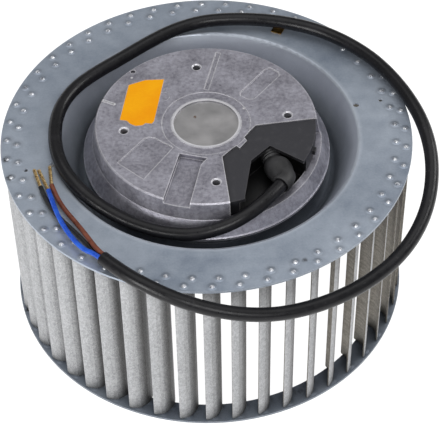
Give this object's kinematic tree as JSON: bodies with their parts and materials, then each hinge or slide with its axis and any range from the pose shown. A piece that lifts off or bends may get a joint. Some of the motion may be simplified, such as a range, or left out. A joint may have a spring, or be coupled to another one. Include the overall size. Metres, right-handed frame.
{
  "type": "range hood blower motor",
  "caption": "Centrifugal fan wheel with curved sheet blades, driven by an outer-rotor motor sunk in its top plate; mounting flange on top and a short mains lead.",
  "frame": {"origin": "on the shaft's axis, at the inlet ring's underside", "axes": "+Z along the shaft, towards the mounting flange; +X to the picture's right"},
  "size_m": [0.19, 0.19, 0.0972],
  "materials": {
    "cast_aluminium": "bare die casting, fine mottled grain",
    "cap_steel": "pressed sheet, satin",
    "lamination_steel": "stacked sheet, lacquered",
    "insulator_plastic": "moulded, matt",
    "copper_winding": "enamelled copper wire",
    "bearing_steel": "ground and polished",
    "black_plastic": "moulded, slightly glossy",
    "black_rubber": "moulded rubber, matt",
    "cable_sheath": "extruded sheath, satin",
    "blue_insulation": "extruded, glossy",
    "black_insulation": "extruded, glossy",
    "brown_insulation": "extruded, glossy",
    "bare_conductor": "stranded wire, twisted",
    "orange_label": "printed paper, plain",
    "galvanised_sheet": "zinc-coated sheet, blue-grey",
    "spangled_sheet": "zinc-coated sheet, granular spangle",
    "brass": "bare brass",
    "rotor_steel": "deep-drawn steel, dark"
  },
  "bodies": {
    "stator": {"motor_flange": "cast_aluminium", "bearing_cap": "cap_steel", "stator_core": "lamination_steel", "insulator_lower": "insulator_plastic", "insulator_upper": "insulator_plastic", "windings": "copper_winding", "thermal_cutout": "insulator_plastic", "wave_spring": "bearing_steel", "terminal_cover": "black_plastic", "terminal_board": "insulator_plastic", "terminal_pins": "brass", "cable_grommet": "black_rubber", "power_cable": "cable_sheath", "wire_blue": "blue_insulation", "wire_black": "black_insulation", "wire_brown": "brown_insulation", "conductor_ends": "bare_conductor", "blank_label": "orange_label", "upper_outer_race": "bearing_steel", "lower_outer_race": "bearing_steel"},
    "impeller": {"impeller_plate": "galvanised_sheet", "inlet_ring": "galvanised_sheet", "impeller_blades": "spangled_sheet", "balance_weight": "brass", "rotor_housing": "rotor_steel", "rotor_core": "lamination_steel", "rotor_end_rings": "cast_aluminium", "rotor_hub": "rotor_steel", "rotor_shaft": "bearing_steel", "retaining_ring": "bearing_steel", "upper_inner_race": "bearing_steel", "lower_inner_race": "bearing_steel"},
    "upper_ball_set": {"upper_balls": "bearing_steel", "upper_ball_cage": "cap_steel"},
    "lower_ball_set": {"lower_balls": "bearing_steel", "lower_ball_cage": "cap_steel"}
  },
  "joints": [
    {"name": "wheel_spin", "type": "hinge", "parent": "stator", "child": "impeller", "pos_m": [0, 0, 0.066], "axis": [0, 0, 1], "continuous": true},
    {"name": "upper_ball_orbit", "type": "hinge", "parent": "stator", "child": "upper_ball_set", "pos_m": [0, 0, 0.0901], "axis": [0, 0, 1], "continuous": true},
    {"name": "lower_ball_orbit", "type": "hinge", "parent": "stator", "child": "lower_ball_set", "pos_m": [0, 0, 0.0545], "axis": [0, 0, 1], "continuous": true}
  ],
  "couplings": [
    {"joint": "upper_ball_orbit", "follows": "wheel_spin", "ratio": 0.36767},
    {"joint": "lower_ball_orbit", "follows": "wheel_spin", "ratio": 0.36767}
  ]
}
